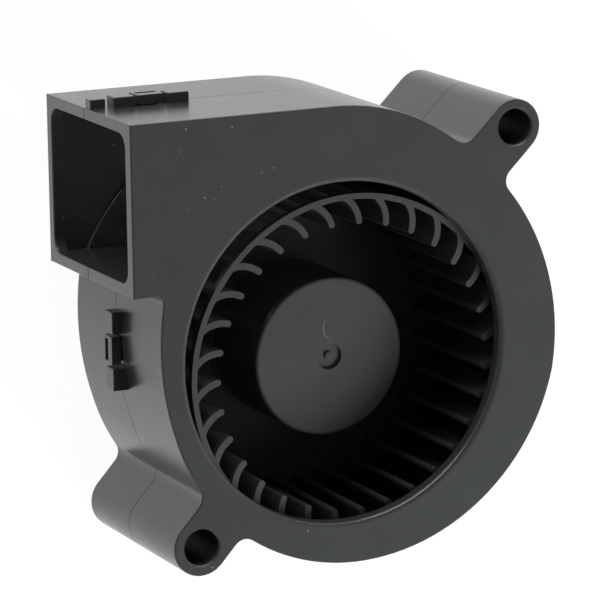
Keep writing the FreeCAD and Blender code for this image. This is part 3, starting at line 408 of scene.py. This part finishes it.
housing = merged_copy("rear_housing")
soften(housing, clip_edges(housing), CLIP_ROUND, clamp=True)
soften(housing, outline_edges(housing, X, -1, REACH), MOUTH_ROUND)
soften(housing, seam_beside_clips(housing), SEAM_ROUND, 2)
soften(housing, outline_edges(housing, Z, 1, FLOOR_STEP), STEP_ROUND)
finish_piece(housing, "rear_housing_moulding", "rear_housing", "casing",
             housing_pbt)

wheel = merged_copy("impeller")
soften(wheel, outline_edges(wheel, Z, 1, RING_FRONT), RING_ROUND, 2)
soften(wheel, outline_edges(wheel, Z, 1, HUB_FRONT), HUB_ROUND)
soften(wheel, outline_edges(wheel, Z, 1, GATE_NUB), NUB_ROUND)
finish_piece(wheel, "blade_wheel", "impeller", "rotor", wheel_pbt_with_painted_light)


# Studio

FLOOR_SIZE, FLOOR_LEVEL = 3.0, -0.1 * MM    # metres; just under the part's back
PAPER, PAPER_SEEN, PAPER_GLOW = "#5E5B5C", "#FFFDFD", 0.97
HORIZON, CEILING = 1.0, 0.14                # brightness of the room, where 1 is white
WALL_TOP, CEILING_EDGE = 0.10, 0.28         # heights of a direction between which it dims

# The photograph's camera, solved from the casing's own right angles; metres and directions
CAMERA_PLACE = (-0.233212, 0.124835, 0.510498)
CAMERA_RIGHT = (0.90513535, -0.01511046, 0.42485488)
CAMERA_DOWN = (-0.10280622, -0.97748634, 0.18425886)
CAMERA_AHEAD = (0.41250561, -0.21045693, -0.88631089)
SENSOR, LENS, CLIP_NEAR, CLIP_FAR = 36.0, 256.0, 0.01, 10.0


def studio_floor():
    """Paper under the part: white to the eye and in reflections, but it sends only a little
    light up, and it keeps the part's shadow."""
    sheet = bmesh.new()
    bmesh.ops.create_grid(sheet, x_segments=1, y_segments=1, size=FLOOR_SIZE)
    mesh = bpy.data.meshes.new("floor")
    sheet.to_mesh(mesh)
    sheet.free()
    floor = bpy.data.objects.new("floor", mesh)
    bpy.context.scene.collection.objects.link(floor)
    floor.location.z = FLOOR_LEVEL
    material = bpy.data.materials.new("pale_paper")
    material.use_nodes = True
    tree = material.node_tree
    tree.nodes.clear()
    paper = add(tree, "ShaderNodeBsdfDiffuse", {"Color": linear(PAPER)})
    path = add(tree, "ShaderNodeLightPath").node.outputs
    seen = add(tree, "ShaderNodeMath", {0: path["Is Camera Ray"], 1: path["Is Glossy Ray"]},
               operation="MAXIMUM")
    seen = add(tree, "ShaderNodeMath", {0: seen, 1: path["Is Transmission Ray"]},
               operation="MAXIMUM")
    lift = add(tree, "ShaderNodeMath", {0: seen, 1: PAPER_GLOW}, operation="MULTIPLY")
    glow = add(tree, "ShaderNodeEmission", {"Color": linear(PAPER_SEEN), "Strength": lift})
    both = add(tree, "ShaderNodeAddShader", {0: paper, 1: glow})
    add(tree, "ShaderNodeOutputMaterial", {"Surface": both})
    mesh.materials.append(material)


def white_room():
    """A white room whose walls are bright at the horizon and whose ceiling is dimmer."""
    world = bpy.data.worlds.new("white_room")
    bpy.context.scene.world = world
    world.use_nodes = True
    tree = world.node_tree
    tree.nodes.clear()
    towards = add(tree, "ShaderNodeTexCoord", out="Generated")
    height = add(tree, "ShaderNodeSeparateXYZ", {"Vector": towards}, out="Z")
    level = add(tree, "ShaderNodeMapRange", {"Value": height, LOW: WALL_TOP, HIGH: CEILING_EDGE,
                AT_LOW: HORIZON, AT_HIGH: CEILING}, interpolation_type="SMOOTHSTEP")
    glow = add(tree, "ShaderNodeBackground", {"Color": linear("#FFFFFF"), "Strength": level})
    add(tree, "ShaderNodeOutputWorld", {"Surface": glow})


def soft_box(name, towards, distance, size, level, mirrored=True):
    """A soft light that faces the part; level is its brightness against white paper."""
    data = bpy.data.lights.new(name, "AREA")
    data.shape = "RECTANGLE"
    data.size, data.size_y = size
    data.energy = level * math.pi * data.size * data.size_y
    lamp = bpy.data.objects.new(name, data)
    bpy.context.scene.collection.objects.link(lamp)
    lamp.visible_glossy = mirrored
    aim = Vector(towards).normalized()
    lamp.matrix_world = (Matrix.Translation(aim * distance)
                         @ aim.to_track_quat("Z", "Y").to_matrix().to_4x4())


def photo_camera():
    """The camera at the photograph's viewpoint."""
    data = bpy.data.cameras.new("camera")
    data.sensor_width, data.lens = SENSOR, LENS
    data.clip_start, data.clip_end = CLIP_NEAR, CLIP_FAR
    camera = bpy.data.objects.new("camera", data)
    bpy.context.scene.collection.objects.link(camera)
    turn = Matrix((CAMERA_RIGHT, [-v for v in CAMERA_DOWN],
                   [-v for v in CAMERA_AHEAD])).transposed()
    camera.matrix_world = Matrix.Translation(CAMERA_PLACE) @ turn.to_4x4()
    bpy.context.scene.camera = camera


studio_floor()
white_room()
# Over the top wall, which it lightens together with the upper ear
soft_box("overhead_light", towards=(-0.20, 0.96, 0.12), distance=0.7, size=(0.8, 0.2), level=6.0)
# From the lower right onto the flat front and the hub, too low to reach into the wheel
soft_box("front_light", towards=(0.50, -0.60, 0.58), distance=0.42, size=(0.30, 0.13),
         level=30.0, mirrored=False)
# A long low strip that draws the inlet's lower lip and the rounded edges
soft_box("edge_light", towards=(0.05, 0.92, 0.33), distance=0.6, size=(1.0, 0.10), level=2.2)
photo_camera()
bpy.context.scene.view_settings.view_transform = "Standard"
